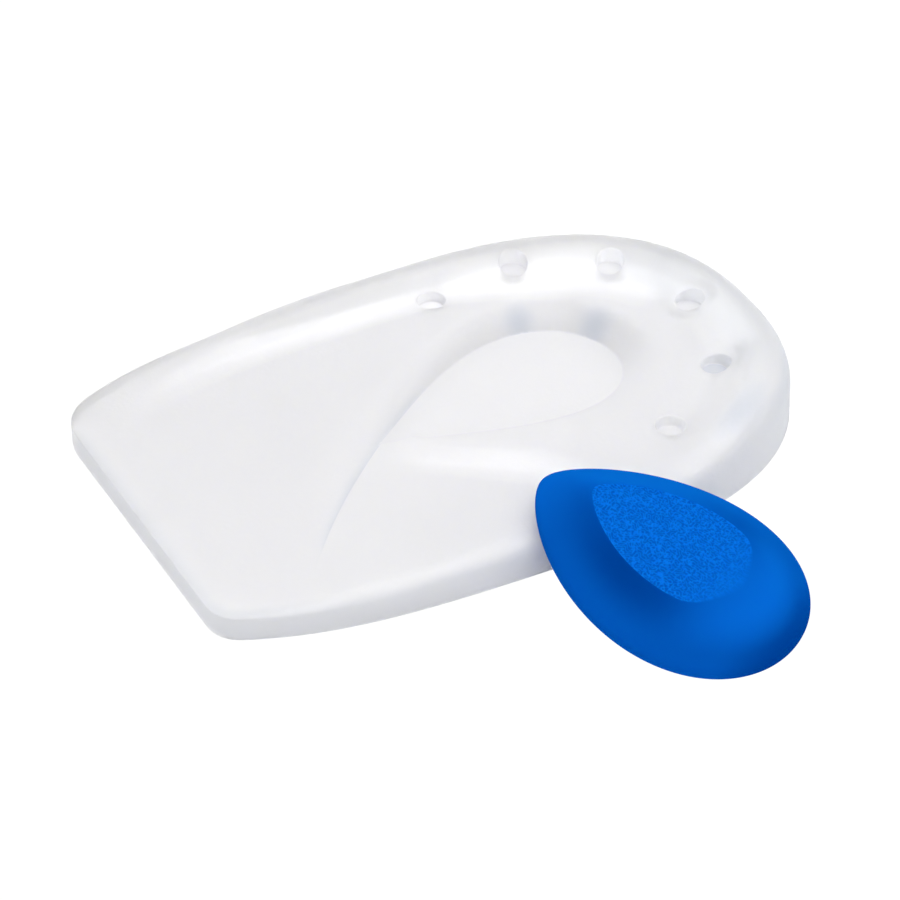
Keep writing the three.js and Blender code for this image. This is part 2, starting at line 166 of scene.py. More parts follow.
# Shade: the crease's foot, the outer edge, the rim's crest at the near side of the heel, and spots of the
# seat's wall where holes lie close behind it
SHADE = {"crease": 0.65, "rear_edge": 1.0, "near_edge": 0.44, "spot": 0.78, "crest": 0.75}
CREASE_SHADE = {"width": 0.8, "overlap": 0.05, "growth": 12.0, "seat_start": 8.0, "seat_span": 10.0}
EDGE_SHADE = {"full": 0.5, "none": 3.0, "rear": 0.45, "rear_turn": 0.45, "far": -0.2, "far_turn": 0.5}
CREST_SHADE = {"start": 1.0, "width": 7.0, "rear": 0.2, "near": 0.6, "turn": 0.3}
SHADED_SPOTS = [{"x": 18.4, "y": 15.2, "radius": 2.6}, {"x": 28.6, "y": 8.6, "radius": 2.8}]

# Fineness of the meshes; clearances are shares of a step
RIM_SIDES = 600
OUTLINE_STEPS = {"heel": 300, "side": 200, "corner": 40}
TOP_STEP = 0.5
CLEARANCE = 0.6
COLLAR_CLEARANCE = 0.5
EDGE_STEPS = 14
WALL_SHARES = (0.6, 0.8)
CREASE_STEP = 0.45
CREASE_GAP = 0.1
CREASE_OFFSETS = (-0.4, -0.15, 0.0, 0.15, 0.4)
SOLE_STEPS = 5
SOLE_STEP = 4.0
SEAT_SIDES = 240
HOLE_SIDES = 48
HOLE_WALL_STEPS = 6
HOLE_EDGE_STEPS = 4
PAD_SIDES = 360
PAD_STEP = 0.11
PAD_CORNER_STEPS = 8
PAD_BEVEL_STEPS = 12
KEEP_INSIDE = 1
MERGE_WITHIN = 1e-6

# Camera, fitted to the photograph's frame of 900 by 900; its scale is in pixels per millimetre at the target
CAMERA_TARGET = (-2.89, -3.48, 0.0)
CAMERA_AZIMUTH = -26.1
CAMERA_ELEVATION = 38.5
CAMERA_DISTANCE = 346.5
CAMERA_SCALE = 6.612
IMAGE_SIDE = 900
SENSOR = 36.0

# Table and light; a softbox stands at a side angle from the camera and a height angle, and aims at the origin
TABLE_SIZE = 4.0
TABLE_DROP = 0.0002
TABLE_WHITE = 0.9
TABLE_GLOW = 0.16
TABLE_SEEN = 1.05
SKY = 0.5
SOFTBOXES = [
    {"name": "front", "side": 0, "height": 65, "distance": 0.6, "size": 0.35, "energy": 1.4},
    {"name": "right", "side": 90, "height": 70, "distance": 0.6, "size": 0.35, "energy": 0.9},
    {"name": "back", "side": 180, "height": 68, "distance": 0.6, "size": 0.35, "energy": 0.6},
]


# Plain sums

def smooth(t):
    t = np.clip(t, 0.0, 1.0)
    return t * t * (3 - 2 * t)


def smoother(t):
    t = np.clip(t, 0.0, 1.0)
    return t ** 3 * (t * (6 * t - 15) + 10)


def lerp(a, b, t):
    return a + (b - a) * t


def step_from(value, start, span):
    """A soft step from 0 at the start to 1 at the end of the span."""
    return smooth((value - start) / span)


def hump(t):
    """From 0 up to 1 halfway and back to 0."""
    t = np.clip(t, 0.0, 1.0)
    return (4 * t * (1 - t)) ** HUMP_POWER


def softened(distance, radius):
    """Zero on the negative side and the distance on the positive side, with a rounded bend between."""
    return (distance + np.sqrt(distance * distance + radius * radius)) / 2


def turned(points, degrees):
    c, s = math.cos(math.radians(degrees)), math.sin(math.radians(degrees))
    return points @ np.array([[c, s], [-s, c]])


def resampled(polygon, count):
    """The closed polygon again, with points at equal steps."""
    closed = np.vstack([polygon, polygon[:1]])
    run = np.concatenate([[0], np.cumsum(np.linalg.norm(np.diff(closed, axis=0), axis=1))])
    at = np.linspace(0, run[-1], count, endpoint=False)
    return np.column_stack([np.interp(at, run, closed[:, k]) for k in (0, 1)])


def inward_normals(polygon):
    along = np.roll(polygon, -1, axis=0) - np.roll(polygon, 1, axis=0)
    normals = np.column_stack([-along[:, 1], along[:, 0]])
    return normals / np.linalg.norm(normals, axis=1, keepdims=True)


def in_chunks(work, points, size=1000):
    parts = [work(points[i:i + size]) for i in range(0, len(points), size)]
    return np.concatenate(parts)


def nearest_edge(polygon, points):
    """Distance from each point to the closed polygon, the edge that lies nearest, and how far along it."""
    a = polygon
    ab = np.roll(polygon, -1, axis=0) - a
    square = (ab * ab).sum(1)

    def work(p):
        ap = p[:, None, :] - a[None]
        share = np.clip((ap * ab).sum(2) / square, 0, 1)
        gap = np.linalg.norm(ap - share[..., None] * ab, axis=2)
        index = gap.argmin(1)
        rows = np.arange(len(p))
        return np.column_stack([gap[rows, index], index, share[rows, index]])

    distance, index, share = in_chunks(work, points).T
    return distance, index.astype(int), share


def inside(polygon, points):
    x0, y0 = polygon.T
    x1, y1 = np.roll(polygon, -1, axis=0).T
    rise = np.where(y1 == y0, TINY, y1 - y0)

    def work(p):
        x, y = p[:, :1], p[:, 1:]
        crosses = ((y0 > y) != (y1 > y)) & (x < x0 + (y - y0) * (x1 - x0) / rise)
        return crosses.sum(1) % 2 == 1

    return in_chunks(work, points)


def lattice(polygon, step):
    """Points of an even triangular lattice inside the polygon, clear of its edge."""
    low, high = polygon.min(0), polygon.max(0)
    rows = np.arange(low[1], high[1], step * math.sqrt(0.75))
    columns = np.arange(low[0], high[0], step)
    x, y = np.meshgrid(columns, rows)
    x = x + (np.arange(len(rows)) % 2)[:, None] * step / 2
    points = np.column_stack([x.ravel(), y.ravel()])
    points = points[inside(polygon, points)]
    return points[nearest_edge(polygon, points)[0] > CLEARANCE * step]


# Outlines

def heel_quarter(sign):
    angle = np.linspace(0, math.pi / 2, OUTLINE_STEPS["heel"])
    x = HEEL_CENTRE + HEEL_DEPTH * np.cos(angle).clip(0) ** (2 / HEEL_ROUNDNESS)
    y = HEEL_HALF_WIDTH * np.sin(angle) ** (2 / HEEL_ROUNDNESS)
    return np.column_stack([x, sign * y])


def side_with_corner(side):
    """One side from the heel to the front edge, with a rounded corner that touches both lines."""
    span = HEEL_CENTRE - FRONT
    last = 1 - side["corner_cut"] / span
    share = np.linspace(0, last, OUTLINE_STEPS["side"])[1:]
    half_width = HEEL_HALF_WIDTH - side["taper"] * share ** SIDE_TAPER_POWER
    points = np.column_stack([HEEL_CENTRE - span * share, side["sign"] * half_width])
    start = points[-1]
    narrowing = side["sign"] * side["taper"] * SIDE_TAPER_POWER * last ** (SIDE_TAPER_POWER - 1)
    along = np.array([-span, -narrowing])
    reach = (FRONT + FRONT_SLANT * start[1] - start[0]) / (along[0] - FRONT_SLANT * along[1])
    meeting = start + reach * along
    front_line = np.array([FRONT_SLANT, 1.0]) / math.hypot(FRONT_SLANT, 1.0) * -side["sign"]
    end = meeting + front_line * np.linalg.norm(meeting - start)
    t = np.linspace(0, 1, OUTLINE_STEPS["corner"])[1:, None]
    rounding = (1 - t) ** 2 * start + 2 * t * (1 - t) * meeting + t ** 2 * end
    return np.vstack([points, rounding])


def cushion_outline(count):
    """Counter-clockwise from the rear of the heel, outer side first."""
    outer = np.vstack([heel_quarter(OUTER_SIDE["sign"]), side_with_corner(OUTER_SIDE)])
    inner = np.vstack([heel_quarter(INNER_SIDE["sign"])[1:], side_with_corner(INNER_SIDE)])
    return resampled(np.vstack([outer, inner[::-1]]), count)


def teardrop_half_width(drop, share):
    widest = drop["tip"] / (drop["tip"] + drop["end"])
    return drop["half_width"] * teardrop_shape(drop, share) / teardrop_shape(drop, widest)


def teardrop_shape(drop, share):
    return share ** drop["tip"] * (1 - share) ** drop["end"] * blunting(drop, share)


def blunting(drop, share):
    """Widens a teardrop's tip to a small round."""
    blunt = drop.get("blunt", 0.0)
    if not blunt:
        return 1.0
    return (1 + blunt / np.maximum(share, TINY)) ** (drop["tip"] - 0.5)


def teardrop_places(sides):
    """Place of each outline point along a teardrop, from 0 at the tip to 1 at the round end, and its side."""
    turn = np.arange(sides) / sides * 2 * math.pi
    return (1 - np.cos(turn)) / 2, np.where(turn < math.pi, -1, 1)


def teardrop_outline(drop, sides):
    """Counter-clockwise from the tip, which lies at the local origin."""
    share, side = teardrop_places(sides)
    bow = drop.get("bow", 0.0) * 4 * share * (1 - share)
    return np.column_stack([drop["length"] * share, bow + side * teardrop_half_width(drop, share)])


RIM = cushion_outline(RIM_SIDES)
RIM_INWARD = inward_normals(RIM)
SEAT_EDGE = turned(teardrop_outline(SEAT, SEAT_SIDES), SEAT_PLACE["heading"])
SEAT_EDGE = SEAT_EDGE + np.array([SEAT_PLACE["x"], SEAT_PLACE["y"]])


# Top surface of the cushion

def wedge_height(x, y):
    run = (x + WEDGE["cross"] * y - WEDGE["start"]) / WEDGE["softness"]
    return FRONT_THICKNESS + WEDGE["slope"] * WEDGE["softness"] * np.log1p(np.exp(run))


def lip_shares(x, y):
    """How much of the lip stands on the outer side and on the inner side, and which side a point is on."""
    outer = smooth((x - OUTER_LIP["start"]) / (OUTER_LIP["full"] - OUTER_LIP["start"]))
    inner = smooth((x - INNER_LIP["start"]) / (INNER_LIP["full"] - INNER_LIP["start"]))
    return outer, inner, smooth(0.5 + y / SIDE_BLEND)


def down_rim(x, from_outline):
    """Place on the rim's inner slope, from 0 at its crest to 1 at its foot."""
    foot = lerp(RIM_FOOT["sides"], RIM_FOOT["heel"], smooth(x / RIM_FOOT["growth"]))
    return (from_outline - RIM_CREST) / (foot - RIM_CREST)


def lip_height(x, y, from_outline):
    outer, inner, side = lip_shares(x, y)
    return RIM_LIP * lerp(inner, outer, side) * (1 - smoother(down_rim(x, from_outline)))


def tail_measures(x, y):
    """Distance beyond the tail's arc, distance from the tail's end, and place across the shoulder."""
    beyond = np.hypot(x - TAIL["x"], y - TAIL["y"]) - TAIL["radius"]
    angle = np.arctan2(y - TAIL["y"], x - TAIL["x"])
    angle_end = math.atan2(TAIL["end_y"] - TAIL["y"], TAIL["end_x"] - TAIL["x"])
    from_end = (angle_end - angle) * TAIL["radius"]
    return beyond, from_end, SHOULDER["x"] * x + SHOULDER["y"] * y


def tail_depth(x, y):
    """A shallow valley: a steep wall outside its arc, a slow rise inside it, none at its end."""
    beyond, from_end, rise = tail_measures(x, y)
    growth = np.clip(from_end / TAIL_LENGTH, 0, 1) ** TAIL_GROWTH_POWER
    depth = TAIL_DEPTH * growth * smooth((TAIL_END_AT_SEAT["rise"] - rise) / TAIL_END_AT_SEAT["span"])
    wall = np.clip(1 - softened(beyond, CREASE_FILLET) / TAIL_WALL, 0, 1) ** 2
    shoulder = smooth((rise - SHOULDER["start"]) / SHOULDER["width"]) * smooth(-beyond / SHOULDER_JOIN)
    valley = (1 - TAIL_FADE_SHARE * smooth(-beyond / TAIL_FADE)) * (1 - shoulder)
    return depth * wall * valley


def seat_measures(points):
    """Distance beyond the seat's edge, place along the seat, and how gentle the wall on that side is."""
    distance = nearest_edge(SEAT_EDGE, points)[0]
    distance = np.where(inside(SEAT_EDGE, points), -distance, distance)
    own = turned(points - np.array([SEAT_PLACE["x"], SEAT_PLACE["y"]]), -SEAT_PLACE["heading"])
    core = np.clip(own[:, 0], SEAT_CORE["start"], SEAT_CORE["end"])
    away = turned(own - np.column_stack([core, np.full(len(core), SEAT["bow"])]), SEAT_PLACE["heading"])
    facing = -away[:, 1] / np.maximum(np.linalg.norm(away, axis=1), TINY)
    gentle = step_from(facing, SEAT_WALL_TURN["start"], SEAT_WALL_TURN["span"])
    return distance, own[:, 0], gentle


def seat_depth(points, full):
    """The seat: a flat floor, a steep far wall, a gentle near wall, and a tip that runs out into the tail."""
    distance, along, gentle = seat_measures(points)
    wall = lerp(SEAT_WALL, SEAT_WALL_GENTLE, gentle)
    deep = full * smooth(along / SEAT_TIP_FADE)
    return deep * np.clip(1 - softened(distance, CREASE_FILLET) / wall, 0, 1) ** 2


def body_height(points, from_outline):
    """The cushion's height with its lip, before its edge is rounded and its seat sunk."""
    x, y = points.T
    return wedge_height(x, y) + lip_height(x, y, from_outline)


def edge_sizes():
    """How wide and deep the round of the top edge is at each point of the outline, and the wall's lean."""
    height = body_height(RIM + RIM_CREST * RIM_INWARD, RIM_CREST)
    blend = EDGE_ROUND["blend"]
    full = ((EDGE_ROUND["share"] * height) ** -blend + EDGE_ROUND["limit"] ** -blend) ** (-1 / blend)
    roundness = step_from(RIM[:, 0] - FRONT, EDGE_SOFTENING["start"], EDGE_SOFTENING["length"])
    wide = lerp(FRONT_EDGE_RADIUS, full, roundness)
    return wide, EDGE_ROUND["deep"] * wide, WALL_LEAN * height


EDGE_WIDE, EDGE_DEEP, EDGE_LEAN = edge_sizes()


def round_drop(share):
    """Drop of the rolled edge, from none at its crest to 1 at its outer side."""
    power = EDGE_ROUND["power"]
    return 1 - (1 - np.clip(share, 0, 1) ** power) ** (1 / power)


def edge_drop(distance, index, share):
    after = (index + 1) % RIM_SIDES
    wide, deep, lean = (lerp(size[index], size[after], share) for size in (EDGE_WIDE, EDGE_DEEP, EDGE_LEAN))
    return deep * round_drop(1 - (distance - lean) / wide)


def natural_height(points):
    """Height of the top with its edge and its seat, before the ground round the holes is levelled."""
    x, y = points.T
    nearest = nearest_edge(RIM, points)
    body = body_height(points, nearest[0])
    full = np.maximum(body - SEAT_FLOOR, 0)
    power = DEPTH_BLEND
    depth = (tail_depth(x, y) ** power + seat_depth(points, full) ** power) ** (1 / power)
    return body - np.minimum(depth, full) - edge_drop(*nearest)


HOLE_TOPS = natural_height(np.array(HOLES))


def top_height(points):
    """Height of the top, made more or less level round each hole, as the hole's look says."""
    heights = natural_height(points)
    for centre, level, look in zip(HOLES, HOLE_TOPS, HOLE_LOOKS):
        away = np.hypot(*(points - np.array(centre)).T)
        near = smooth((HOLE_LEVEL["none"] - away) / (HOLE_LEVEL["none"] - HOLE_LEVEL["full"]))
        heights = lerp(heights, level, near * look["level"])
    return heights


# Mesh making

class MeshParts:
    """Points and faces gathered part by part."""

    def __init__(self):
        self.points = []
        self.faces = []

    def add_points(self, points):
        first = len(self.points)
        self.points.extend(map(tuple, points))
        return list(range(first, len(self.points)))

    def add_ring(self, above, points, hollow=False):
        """A closed ring below another one, and the faces between them, which look inward in a hollow."""
        ring = self.add_points(points)
        count = len(ring)
        for i in range(count):
            j = (i + 1) % count
            face = (above[i], ring[i], ring[j], above[j])
            self.faces.append(face[::-1] if hollow else face)
        return ring

    def add_fan(self, ring, centre):
        middle = self.add_points([centre])[0]
        count = len(ring)
        self.faces.extend((middle, ring[i], ring[(i + 1) % count]) for i in range(count))

    def object(self, name, material, marks):
        """The mesh as an object; marks are named values, one for each point, that the material reads."""
        mesh = bpy.data.meshes.new(name)
        scaled = [tuple(MM * c for c in p) for p in self.points]
        mesh.from_pydata(scaled, [], self.faces)
        mesh.validate()
        mesh.polygons.foreach_set("use_smooth", [True] * len(mesh.polygons))
        mesh.materials.append(material)
        for mark_name, values in marks.items():
            layer = mesh.attributes.new(mark_name, "FLOAT", "POINT")
            layer.data.foreach_set("value", np.asarray(values, float))
        mesh.update()
        piece = bpy.data.objects.new(name, mesh)
        bpy.context.scene.collection.objects.link(piece)
        return piece


def triangulated(loops, loose):
    """Delaunay triangles of the loops' points and the loose points, without those inside the later loops."""
    points = np.vstack([*loops, loose])
    edges = []
    first = 0
    for loop in loops:
        count = len(loop)
        edges.extend((first + i, first + (i + 1) % count) for i in range(count))
        first += count
    coords = [Vector(p) for p in points]
    _, _, triangles, origins, _, _ = delaunay_2d_cdt(coords, edges, [], KEEP_INSIDE, MERGE_WITHIN)
    faces = np.array([[origins[v][0] for v in triangle] for triangle in triangles])
    middles = points[faces].mean(1)
    keep = np.ones(len(faces), bool)
    for hole in loops[1:]:
        keep &= ~inside(hole, middles)
    faces = faces[keep]
    a, b, c = (points[faces[:, k]] for k in range(3))
    flipped = np.cross(b - a, c - a) < 0
    faces[flipped] = faces[flipped][:, ::-1]
    return points, faces


# Heel cushion

def circle(centre, radius, sides):
    turn = np.arange(sides) / sides * 2 * math.pi
    return np.column_stack([centre[0] + radius * np.cos(turn), centre[1] + radius * np.sin(turn)])


def rim_ring(inset, height):
    places = RIM + np.broadcast_to(inset, len(RIM))[:, None] * RIM_INWARD
    return np.column_stack([places, np.broadcast_to(height, len(RIM))])


def add_outer_edge(parts, seam_ring, seam_height):
    """The steep part of the rounded edge, the wall and the sole's edge, below the seam with the top."""
    ring = seam_ring
    crest = seam_height + EDGE_DEEP * round_drop(EDGE_SEAM)
    bend = 2 / EDGE_ROUND["power"]
    for angle in np.linspace(math.asin(EDGE_SEAM ** (1 / bend)), math.pi / 2, EDGE_STEPS)[1:]:
        inset = EDGE_LEAN + EDGE_WIDE * (1 - math.sin(angle) ** bend)
        drop = EDGE_DEEP * (1 - max(math.cos(angle), 0) ** bend)
        ring = parts.add_ring(ring, rim_ring(inset, crest - drop))
    wall_top = crest - drop
    for share in WALL_SHARES:
        height = lerp(wall_top, SOLE_EDGE_RADIUS, share)
        ring = parts.add_ring(ring, rim_ring(EDGE_LEAN * (1 - share), height))
    for angle in np.linspace(0, math.pi / 2, SOLE_STEPS):
        inset = SOLE_EDGE_RADIUS * (1 - math.cos(angle))
        ring = parts.add_ring(ring, rim_ring(inset, SOLE_EDGE_RADIUS * (1 - math.sin(angle))))
    return ring


def add_sole(parts, ring):
    loop = np.array([parts.points[i][:2] for i in ring])
    points, faces = triangulated([loop], lattice(loop, SOLE_STEP))
    flat = np.column_stack([points[len(loop):], np.zeros(len(points) - len(loop))])
    index = np.array(ring + parts.add_points(flat))
    parts.faces.extend(tuple(index[face[::-1]]) for face in faces)


def hole_ring(centre, radius, height):
    return np.column_stack([circle(centre, radius, HOLE_SIDES), np.broadcast_to(height, HOLE_SIDES)])


def add_hole(parts, mouth, centre):
    """A blind hole below the ring of its mouth: a rounded edge, the wall, a rounded foot and a flat floor."""
    top = np.array([parts.points[i][2] for i in mouth])
    floor = top.mean() - HOLE_DEPTH
    quarter = np.linspace(0, math.pi / 2, HOLE_EDGE_STEPS + 1)[1:]
    rings = []
    for angle in quarter:
        radius = HOLE_RADIUS + HOLE_EDGE * (1 - math.sin(angle))
        rings.append(hole_ring(centre, radius, top - HOLE_EDGE * (1 - math.cos(angle))))
    wall_top = rings[-1][:, 2]
    for share in np.linspace(0, 1, HOLE_WALL_STEPS + 1)[1:]:
        rings.append(hole_ring(centre, HOLE_RADIUS, lerp(wall_top, floor + HOLE_EDGE, share)))
    for angle in quarter:
        radius = HOLE_RADIUS - HOLE_EDGE * (1 - math.cos(angle))
        rings.append(hole_ring(centre, radius, floor + HOLE_EDGE * (1 - math.sin(angle))))
    rings.append(hole_ring(centre, radius - HOLE_COLLAR, rings[-1][:, 2]))
    ring = mouth
    for points in rings:
        ring = parts.add_ring(ring, points, hollow=True)
    parts.add_fan(ring, (*centre, floor))


def crease_lines():
    """Points along the tail's arc and round the seat, on the crease and close on both sides of it."""
    centre = np.array([TAIL["x"], TAIL["y"]])
    start = math.atan2(TAIL["end_y"] - TAIL["y"], TAIL["end_x"] - TAIL["x"])
    end = math.atan2(SEAT_PLACE["y"] - TAIL["y"], SEAT_PLACE["x"] - TAIL["x"])
    angles = np.arange(start, end, -CREASE_STEP / TAIL["radius"])
    spokes = np.column_stack([np.cos(angles), np.sin(angles)])
    arcs = [centre + (TAIL["radius"] + offset) * spokes for offset in CREASE_OFFSETS]
    seat = resampled(SEAT_EDGE, SEAT_SIDES)
    rounds = [seat - offset * inward_normals(seat) for offset in CREASE_OFFSETS]
    return np.vstack([thinned(np.vstack(rounds), CREASE_GAP), *arcs])


def thinned(points, gap):
    """The points without those that lie close to an earlier one."""
    kept = []
    for point in points:
        if not kept or np.min(np.hypot(*(np.array(kept) - point).T)) > gap:
            kept.append(point)
    return np.array(kept)


def top_net():
    """Places and faces of the top: the seam with the edge first, then the holes' mouths, then the rest."""
    seam = RIM + (EDGE_LEAN + EDGE_WIDE * (1 - EDGE_SEAM))[:, None] * RIM_INWARD
    mouth_radius = HOLE_RADIUS + HOLE_EDGE
    mouths = [circle(centre, mouth_radius, HOLE_SIDES) for centre in HOLES]
    collars = [circle(centre, mouth_radius + HOLE_COLLAR, HOLE_SIDES) for centre in HOLES]
    loose = lattice(seam, TOP_STEP)
    for collar in collars:
        loose = loose[~inside(collar, loose)]
        loose = loose[nearest_edge(collar, loose)[0] > COLLAR_CLEARANCE * TOP_STEP]
    creases = crease_lines()
    apart = in_chunks(lambda p: np.linalg.norm(p[:, None] - creases[None], axis=2).min(1), loose)
    loose = loose[apart > CLEARANCE * TOP_STEP]
    return triangulated([seam, *mouths], np.vstack([creases, *collars, loose]))


def heel_cushion(material):
    parts = MeshParts()
    points, faces = top_net()
    heights = top_height(points)
    index = parts.add_points(np.column_stack([points, heights]))
    parts.faces.extend(map(tuple, faces))
    sole_ring = add_outer_edge(parts, index[:RIM_SIDES], heights[:RIM_SIDES])
    outside = np.array(parts.points)
    add_sole(parts, sole_ring)
    first_in_holes = len(parts.points)
    for i, centre in enumerate(HOLES):
        first = RIM_SIDES + i * HOLE_SIDES
        add_hole(parts, index[first:first + HOLE_SIDES], centre)
    # The glow mark is painted light, given as emission, and the shade mark is painted shade, mixed into the
    # colour
    glow = np.zeros(len(parts.points))
    glow[:len(points)] = painted_light(points) * (1 - hole_fronts(points))
    glow[:len(outside)] += painted_front_light(outside)
    shade = np.zeros(len(parts.points))
    shade[:len(points)] = crease_shade(points) + spot_shade(points)
    shade[:len(outside)] += edge_shade(outside[:, :2])
    mark_holes(glow[first_in_holes:], shade[first_in_holes:])
    return parts.object("heel_insert_cushion", material, {"glow": glow, "shade": shade})


def mark_holes(glow, shade):
    """Fills in the painted light and painted shade of the points inside the holes, whose rings lie one after
    another from the mouth.
    """
    size = len(glow) // len(HOLES)
    ring_number = 1 + np.arange(size) // HOLE_SIDES
    on_floor = ring_number >= 2 * HOLE_EDGE_STEPS + HOLE_WALL_STEPS
    for i, look in enumerate(HOLE_LOOKS):
        hole = slice(i * size, (i + 1) * size)
        glow[hole] = np.where(on_floor, look["floor_glow"], look["wall_glow"])
        shade[hole] = np.where(on_floor, look["floor_dark"], look["wall_dark"])


def painted_light(points):
    """Painted light of the whole top, before the holes take some of it away."""
    return painted_rim_light(points) + painted_seat_light(points) + painted_tail_light(points)


def painted_rim_light(points):
    """Painted light on the rim's inner slope, and on the rim's crest instead at the rear of the heel."""
    x, y = points.T
    outer, inner, side = lip_shares(x, y)
    heel = step_from(x, HEEL_RIM["start"], HEEL_RIM["full"] - HEEL_RIM["start"])
    span = lerp(RIM_GLOW["sides"], RIM_GLOW["heel"], heel) - RIM_GLOW["start"]
    from_outline, index, _ = nearest_edge(RIM, points)
    rear = step_from(-RIM_INWARD[index, 0], REAR_GLOW["facing"], REAR_GLOW["turn"])
    slope = hump((from_outline - RIM_GLOW["start"]) / span) * (1 - REAR_GLOW["loss"] * rear)
    crest = hump((from_outline - REAR_GLOW["start"]) / REAR_GLOW["width"]) * rear
    outer_glow = outer * side * lerp(PAINTED_GLOW["side_rim"], PAINTED_GLOW["heel_rim"], heel)
    inner_glow = inner * (1 - side) * PAINTED_GLOW["inner_rim"]
    return slope * (outer_glow + inner_glow) + crest * PAINTED_GLOW["rear"]


def painted_seat_light(points):
    """Painted light on the seat's floor and on its near wall."""
    distance, along, gentle = seat_measures(points)
    floor = smooth(-distance / GLOW_EDGE) * smooth(along / SEAT_TIP_FADE)
    near_wall = gentle * smooth(distance / GLOW_EDGE) * np.clip(1 - distance / SEAT_WALL_GENTLE, 0, 1)
    return PAINTED_GLOW["floor"] * floor + PAINTED_GLOW["near_wall"] * near_wall


def painted_tail_light(points):
    """Painted light on the shoulder beside the tail, and on the valley along the tail's arc."""
    x, y = points.T
    beyond, from_end, rise = tail_measures(x, y)
    shoulder = hump((rise - SHOULDER_GLOW["start"]) / SHOULDER_GLOW["width"])
    shoulder *= smooth(-beyond / SHOULDER_GLOW["join"])
    shoulder *= smooth((x - SHOULDER_GLOW["front"]) / SHOULDER_GLOW["front_fade"])
    shoulder *= smooth((SHOULDER_GLOW["rear"] - x) / SHOULDER_GLOW["rear_fade"])
    valley = smooth(-beyond / GLOW_EDGE) * (1 - smooth(-beyond / VALLEY_GLOW["width"]))
    valley *= smooth(from_end / VALLEY_GLOW["growth"]) * smooth(-rise / VALLEY_GLOW["rise"])
    valley *= seat_measures(points)[0] > 0
    return PAINTED_GLOW["shoulder"] * shoulder + PAINTED_GLOW["valley"] * valley


def painted_front_light(points):
    """Painted light at the foot of the thin front edge, where light would come through."""
    index = nearest_edge(RIM, points[:, :2])[1]
    front = step_from(RIM_INWARD[index, 0], FRONT_GLOW["facing"], FRONT_GLOW["turn"])
    low = smooth((FRONT_GLOW["none"] - points[:, 2]) / (FRONT_GLOW["none"] - FRONT_GLOW["full"]))
    return PAINTED_GLOW["front_foot"] * front * low


def hole_fronts(points):
    """How much of the painted light is taken away in front of the holes, where their bodies show through the
    silicone.
    """
    stopped = np.zeros(len(points))
    for (x, y), look in zip(HOLES, HOLE_LOOKS):
        away = np.hypot(points[:, 0] - x - HOLE_FRONT["x"], points[:, 1] - y - HOLE_FRONT["y"])
        near = smooth((HOLE_FRONT["radius"] - away) / HOLE_FRONT["soft"])
        stopped = np.maximum(stopped, look["front"] * near)
    return stopped


def crease_shade(points):
    """A dark line at the foot of the tail's wall, which goes on a little way along the seat's far wall."""
    distance, along, gentle = seat_measures(points)
    beyond, from_end, _ = tail_measures(*points.T)
    width = CREASE_SHADE["width"]
    outside = (beyond > -CREASE_SHADE["overlap"]) & (distance > -CREASE_SHADE["overlap"])
    tail = np.exp(-np.maximum(beyond, 0) / width) * smooth(from_end / CREASE_SHADE["growth"])
    tail *= smooth((SEAT_TIP_FADE - along) / SEAT_TIP_FADE)
    seat = np.exp(-np.maximum(distance, 0) / width) * (1 - gentle)
    seat *= 1 - step_from(along, CREASE_SHADE["seat_start"], CREASE_SHADE["seat_span"])
    return SHADE["crease"] * outside * np.maximum(tail, seat)


def spot_shade(points):
    """Dark spots on the seat's wall, and none on its floor."""
    distance = seat_measures(points)[0]
    dark = np.zeros(len(points))
    for spot in SHADED_SPOTS:
        away = np.hypot(points[:, 0] - spot["x"], points[:, 1] - spot["y"])
        dark = np.maximum(dark, np.exp(-(away / spot["radius"]) ** 2))
    return SHADE["spot"] * dark * (distance > 0)


def edge_shade(points):
    """Shade of the outer edge, most round the rear and none on the far side, and of the near rear crest."""
    distance, index, _ = nearest_edge(RIM, points)
    outward = -RIM_INWARD[index]
    rear = step_from(outward[:, 0], EDGE_SHADE["rear"], EDGE_SHADE["rear_turn"])
    far = step_from(outward[:, 1], EDGE_SHADE["far"], EDGE_SHADE["far_turn"])
    strength = lerp(SHADE["near_edge"] * (1 - far), SHADE["rear_edge"], rear)
    edge = strength * smooth((EDGE_SHADE["none"] - distance) / (EDGE_SHADE["none"] - EDGE_SHADE["full"]))
    crest = step_from(outward[:, 0], CREST_SHADE["rear"], CREST_SHADE["turn"])
    crest *= step_from(-outward[:, 1], CREST_SHADE["near"], CREST_SHADE["turn"])
    crest *= hump((distance - CREST_SHADE["start"]) / CREST_SHADE["width"])
    return edge + SHADE["crest"] * crest


# Pad, with its large face on the local XY plane and its tip at the local origin

def corner(start, bend, end, steps):
    """Points of a rounded corner, without its start."""
    return [(1 - t) ** 2 * start + 2 * t * (1 - t) * bend + t * t * end
            for t in np.linspace(0, 1, steps + 1)[1:]]


def grain(points):
    """Height of the wormy grain at each point of the small face, from 0 between the ridges to 1 on them."""
    values = np.array([noise.noise(Vector((x, y, 0.0)) / GRAIN_SIZE) for x, y in points])
    return np.exp(-(values / GRAIN_RIDGE) ** 2)


